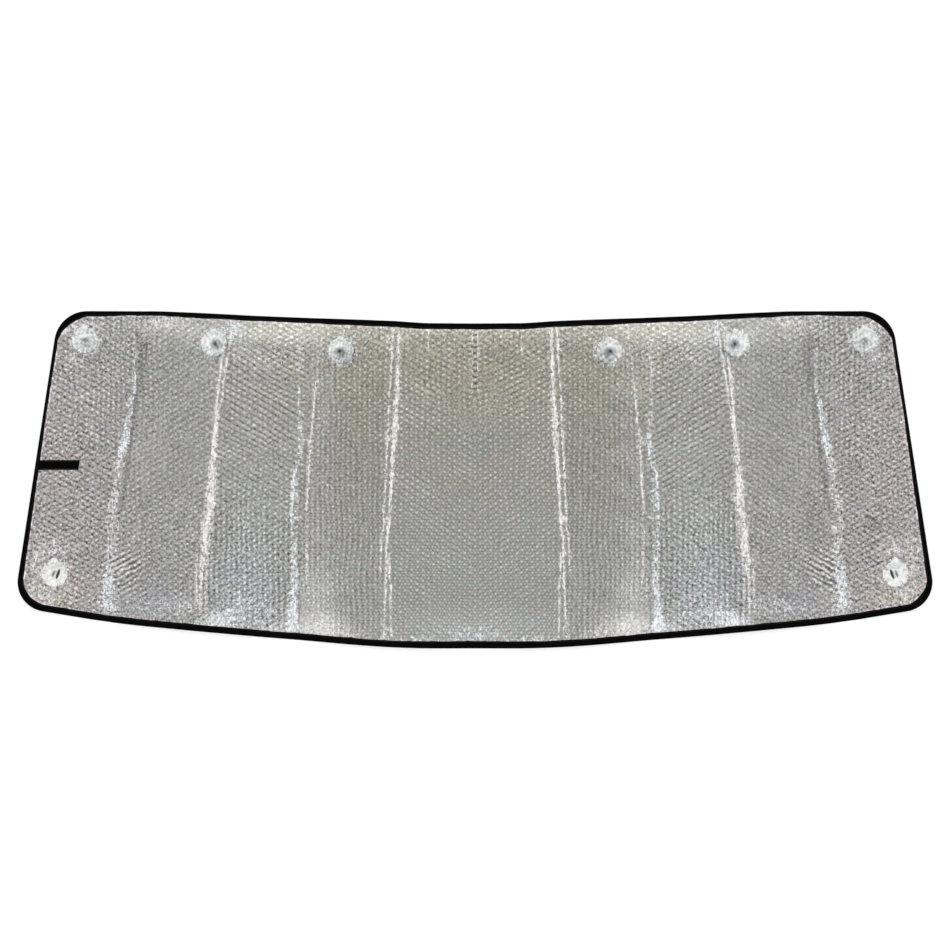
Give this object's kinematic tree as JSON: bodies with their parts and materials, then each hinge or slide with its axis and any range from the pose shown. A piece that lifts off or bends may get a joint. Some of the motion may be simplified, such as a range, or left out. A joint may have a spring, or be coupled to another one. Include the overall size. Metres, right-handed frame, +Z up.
{
  "type": "window sunshade",
  "caption": "Folding car windscreen sunshade: fan-creased silver bubble foil sheet with black edge tape, a closure strap and clear suction cups along its edges.",
  "frame": {"origin": "on the floor, under the middle of the shade's outline", "axes": "+X along the shade's width, +Y towards its top edge, +Z up, the way the suction cups face"},
  "size_m": [1.6006, 0.591, 0.0299],
  "materials": {
    "silver_foil": "satin",
    "black_tape": "matte",
    "black_webbing": "matte",
    "clear_vinyl": "gloss"
  },
  "bodies": {
    "shade": {"foil_panel": "silver_foil", "edge_binding": "black_tape", "closure_strap": "black_webbing"},
    "cup_1": {"suction_cup_1": "clear_vinyl"},
    "cup_2": {"suction_cup_2": "clear_vinyl"},
    "cup_3": {"suction_cup_3": "clear_vinyl"},
    "cup_4": {"suction_cup_4": "clear_vinyl"},
    "cup_5": {"suction_cup_5": "clear_vinyl"},
    "cup_6": {"suction_cup_6": "clear_vinyl"},
    "cup_7": {"suction_cup_7": "clear_vinyl"},
    "cup_8": {"suction_cup_8": "clear_vinyl"}
  },
  "joints": [
    {"name": "cup_1_swivel", "type": "hinge", "parent": "shade", "child": "cup_1", "pos_m": [-0.68171, 0.24369, 0.0087], "axis": [0.057, -0.0094, 0.9983], "continuous": true},
    {"name": "cup_2_swivel", "type": "hinge", "parent": "shade", "child": "cup_2", "pos_m": [-0.45421, 0.23799, 0.01546], "axis": [-0.0903, 0.011, 0.9959], "continuous": true},
    {"name": "cup_3_swivel", "type": "hinge", "parent": "shade", "child": "cup_3", "pos_m": [-0.23303, 0.22505, 0.00852], "axis": [-0.0935, 0.0036, 0.9956], "continuous": true},
    {"name": "cup_4_swivel", "type": "hinge", "parent": "shade", "child": "cup_4", "pos_m": [0.23303, 0.22505, 0.00852], "axis": [0.0935, 0.0036, 0.9956], "continuous": true},
    {"name": "cup_5_swivel", "type": "hinge", "parent": "shade", "child": "cup_5", "pos_m": [0.45421, 0.23799, 0.01546], "axis": [0.0903, 0.011, 0.9959], "continuous": true},
    {"name": "cup_6_swivel", "type": "hinge", "parent": "shade", "child": "cup_6", "pos_m": [0.68171, 0.24369, 0.0087], "axis": [-0.057, -0.0094, 0.9983], "continuous": true},
    {"name": "cup_7_swivel", "type": "hinge", "parent": "shade", "child": "cup_7", "pos_m": [-0.73484, -0.16432, 0.00831], "axis": [0.0546, -0.007, 0.9985], "continuous": true},
    {"name": "cup_8_swivel", "type": "hinge", "parent": "shade", "child": "cup_8", "pos_m": [0.73484, -0.16432, 0.00831], "axis": [-0.0546, -0.007, 0.9985], "continuous": true}
  ]
}
